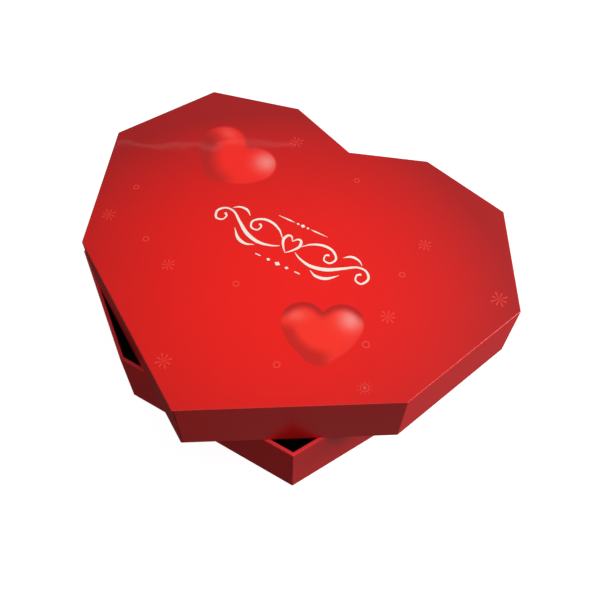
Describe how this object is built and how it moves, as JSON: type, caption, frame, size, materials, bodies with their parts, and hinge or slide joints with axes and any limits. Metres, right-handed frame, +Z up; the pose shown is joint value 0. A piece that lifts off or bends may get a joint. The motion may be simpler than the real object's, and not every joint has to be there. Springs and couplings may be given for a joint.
{
  "type": "wind-up music box",
  "caption": "Faceted heart-shaped gift box with a lift-off lid lying askew on its tray, and a key-wound comb movement on the raised floor inside.",
  "frame": {"origin": "on the ground, in the middle of the bounding box of the box with its lid lying askew", "axes": "+Z up; the base heart's tip points to -Y and its cleft to +Y; +X to the right when seen from the tip"},
  "size_m": [0.2742, 0.2448, 0.098],
  "materials": {
    "red_wrap": "glossy film-laminated printed paper, full red",
    "greyboard": "bare grey board, 1.4 to 2 mm",
    "black_lining": "matt black lining paper",
    "zinc": "zinc alloy casting, satin",
    "steel": "bright steel",
    "blued_steel": "blued spring steel",
    "brass": "turned and cut brass",
    "clear_plastic": "clear moulded plastic"
  },
  "bodies": {
    "base": {"base_wrap": "red_wrap", "base_wall_board": "greyboard", "base_floor_board": "greyboard", "base_wall_lining": "black_lining", "base_floor_lining": "black_lining", "base_underside_paper": "black_lining", "bedplate": "zinc", "barrel_bridge": "steel", "bridge_screw_front": "steel", "bridge_screw_back": "steel", "click_screw": "steel", "click_spring": "blued_steel", "comb": "steel", "comb_screw_left": "steel", "comb_screw_right": "steel", "governor_frame": "zinc", "governor_screw": "steel", "mounting_screw_1": "steel", "mounting_screw_2": "steel", "mounting_screw_3": "steel", "movement_cover": "clear_plastic"},
    "lid": {"lid_wrap": "red_wrap", "lid_top_board": "greyboard", "lid_wall_board": "greyboard", "lid_lining": "black_lining"},
    "key": {"winding_key": "brass", "winding_arbor": "steel", "ratchet_wheel": "steel"},
    "click": {"click": "steel"},
    "barrel": {"great_wheel": "brass", "spring_barrel": "brass", "barrel_cover": "steel", "mainspring": "blued_steel"},
    "cylinder": {"cylinder": "brass", "cylinder_arbor": "steel", "cylinder_gear": "brass", "cylinder_pinion": "brass"},
    "governor_wheel": {"governor_wheel": "brass"},
    "fly": {"worm_shaft": "steel", "fly": "brass"}
  },
  "joints": [
    {"name": "lid_lift", "type": "slide", "parent": "base", "child": "lid", "axis": [0, 0, 1], "range_m": [0, 0.12]},
    {"name": "key_wind", "type": "hinge", "parent": "base", "child": "key", "pos_m": [0, -0.0059, 0.0185], "axis": [0, 0, 1], "continuous": true},
    {"name": "click_lift", "type": "hinge", "parent": "base", "child": "click", "pos_m": [-0.00176, -0.01469, 0.039], "axis": [0, 0, 1], "range_deg": [-10, 0], "stiffness_Nm_per_rad": 0.0005, "springref_deg": 11.46},
    {"name": "barrel_turn", "type": "hinge", "parent": "base", "child": "barrel", "pos_m": [0, -0.0059, 0.024], "axis": [0, 0, 1], "continuous": true},
    {"name": "cylinder_turn", "type": "hinge", "parent": "base", "child": "cylinder", "pos_m": [0.024, -0.0059, 0.0277], "axis": [1, 0, 0], "continuous": true},
    {"name": "governor_turn", "type": "hinge", "parent": "base", "child": "governor_wheel", "pos_m": [0.035, 0.0011, 0.0314], "axis": [1, 0, 0], "continuous": true},
    {"name": "fly_turn", "type": "hinge", "parent": "base", "child": "fly", "pos_m": [0.0364, 0.0066, 0.028], "axis": [0, 0, 1], "continuous": true}
  ],
  "couplings": [
    {"joint": "cylinder_turn", "follows": "barrel_turn", "ratio": 5},
    {"joint": "governor_turn", "follows": "barrel_turn", "ratio": -22.5},
    {"joint": "fly_turn", "follows": "barrel_turn", "ratio": 675}
  ]
}
